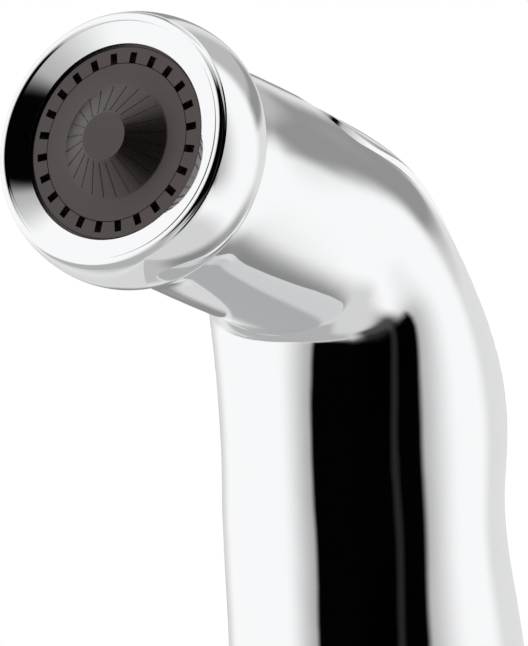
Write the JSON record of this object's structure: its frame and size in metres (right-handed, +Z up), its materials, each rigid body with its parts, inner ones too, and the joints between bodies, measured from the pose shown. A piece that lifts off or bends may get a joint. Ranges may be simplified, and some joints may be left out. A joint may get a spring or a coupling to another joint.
{
  "type": "kitchen faucet hand spray",
  "caption": "Chrome hand spray of a kitchen faucet: hollow angled handle, black slotted spray face in a rolled bell, sprung thumb lever on the back and a valve inside.",
  "frame": {"origin": "on the handle's axis, in the plane of the shoulder that rests on the deck holder, where the round seat below begins", "axes": "+Z up the handle's axis, the spray head leans forward towards -Y and upwards, X = 0 is the plane of symmetry"},
  "size_m": [0.0422, 0.109, 0.137],
  "materials": {
    "body_chrome": "polished chrome plate",
    "face_plastic": "satin black moulded plastic",
    "inner_plastic": "moulded acetal",
    "brass": "turned brass",
    "steel": "stainless steel",
    "seal_rubber": "black nitrile rubber"
  },
  "bodies": {
    "root": {"body_shell": "body_chrome", "spray_bell": "body_chrome", "spray_ring": "face_plastic", "spray_hub": "face_plastic", "distributor_plate": "inner_plastic", "hub_screw": "steel", "debris_screen": "steel", "face_gasket": "seal_rubber", "bell_seal": "seal_rubber", "spray_chamber": "inner_plastic", "outlet_tube": "brass", "feed_tube": "brass", "tube_washers": "seal_rubber", "valve_housing": "brass", "housing_screws": "steel", "gland_nut": "brass", "stem_seal": "seal_rubber", "valve_seat": "brass", "return_spring": "steel", "end_plug": "brass", "plug_seal": "seal_rubber", "lever_pin": "steel", "inlet_adapter": "brass", "inlet_seal": "seal_rubber"},
    "lever": {"thumb_lever": "body_chrome"},
    "stem": {"valve_stem": "steel", "valve_button": "inner_plastic", "seat_washer": "seal_rubber", "poppet_cup": "brass"}
  },
  "joints": [
    {"name": "lever_hinge", "type": "hinge", "parent": "root", "child": "lever", "pos_m": [0, -0.017, 0.098], "axis": [-1, 0, 0], "range_deg": [0, 4.4], "stiffness_Nm_per_rad": 2, "springref_deg": -2.86},
    {"name": "stem_slide", "type": "slide", "parent": "root", "child": "stem", "axis": [0, -0.723, -0.6909], "range_m": [0, 0.0027], "deforming": ["return_spring"]}
  ],
  "couplings": [
    {"joint": "stem_slide", "follows": "lever_hinge", "m_per_rad": 0.0345}
  ]
}
